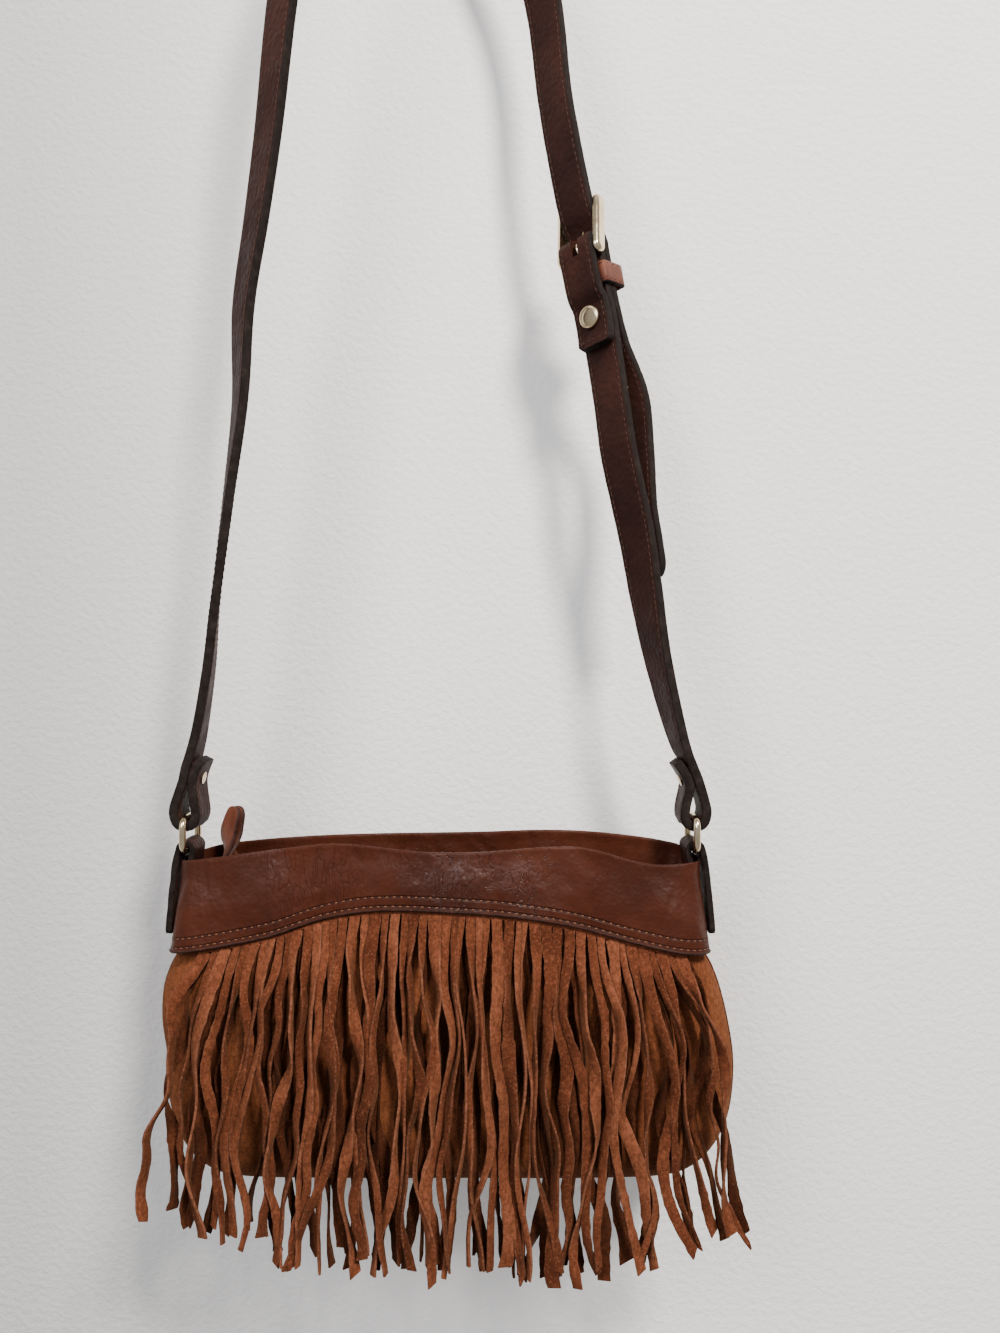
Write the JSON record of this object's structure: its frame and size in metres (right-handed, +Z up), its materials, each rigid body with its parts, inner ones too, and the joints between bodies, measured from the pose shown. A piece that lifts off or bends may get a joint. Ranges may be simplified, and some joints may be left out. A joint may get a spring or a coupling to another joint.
{
  "type": "fringed suede shoulder bag",
  "caption": "Suede shoulder bag with cut-strand fringe, smooth leather yoke, zipped mouth and a buckled leather strap.",
  "frame": {"origin": "underside of the strap at its highest point, where it hangs", "axes": "+Z up along the hanging bag, the front faces -Y, X along the bag's width"},
  "size_m": [0.2837, 0.0751, 0.7681],
  "materials": {
    "strap_leather": "satin",
    "yoke_leather": "satin",
    "tan_leather": "satin",
    "suede": "matte",
    "cloth": "matte",
    "gold_metal": "polished"
  },
  "bodies": {
    "strap": {"strap_long": "strap_leather", "strap_short": "strap_leather", "strap_rivet_left": "gold_metal", "strap_rivet_right": "gold_metal", "buckle_frame": "gold_metal", "buckle_prong": "gold_metal", "buckle_stud": "gold_metal"},
    "keeper": {"strap_keeper": "tan_leather"},
    "ring_left": {"ring_left": "gold_metal"},
    "ring_right": {"ring_right": "gold_metal"},
    "bag": {"side_tab_left": "strap_leather", "side_tab_right": "strap_leather", "front_yoke": "yoke_leather", "back_yoke": "yoke_leather", "front_panel": "suede", "back_panel": "suede", "lining": "cloth", "fringe_front": "suede", "fringe_under": "suede", "zip_facing_front": "tan_leather", "zip_facing_back": "tan_leather", "zip_tape_front": "cloth", "zip_tape_back": "cloth", "zip_end_tab": "tan_leather"},
    "zip_slider": {"zip_slider": "gold_metal"},
    "zip_puller": {"zip_puller": "gold_metal"}
  },
  "joints": [
    {"name": "ring_left_swing", "type": "hinge", "parent": "strap", "child": "ring_left", "pos_m": [-0.1075, 0, -0.5505], "axis": [0, 1, 0], "range_deg": [-20, 20]},
    {"name": "bag_swing", "type": "hinge", "parent": "ring_left", "child": "bag", "pos_m": [-0.1075, 0, -0.5665], "axis": [0, 1, 0], "range_deg": [-20, 20]},
    {"name": "ring_right_swing", "type": "hinge", "parent": "strap", "child": "ring_right", "pos_m": [0.1435, 0, -0.5505], "axis": [0, 1, 0], "range_deg": [-20, 20]},
    {"name": "keeper_slide", "type": "slide", "parent": "strap", "child": "keeper", "axis": [-0.1773, 0.0534, 0.9827], "range_m": [-0.005, 0.002]},
    {"name": "zip_slide", "type": "slide", "parent": "bag", "child": "zip_slider", "axis": [-1, 0, 0], "range_m": [0, 0.055]},
    {"name": "puller_flip", "type": "hinge", "parent": "zip_slider", "child": "zip_puller", "pos_m": [0.006, 0, -0.59287], "axis": [0, 1, 0], "range_deg": [0, 150]}
  ],
  "couplings": [
    {"joint": "bag_swing", "follows": "ring_left_swing", "ratio": -1},
    {"joint": "ring_right_swing", "follows": "ring_left_swing", "ratio": 1}
  ]
}
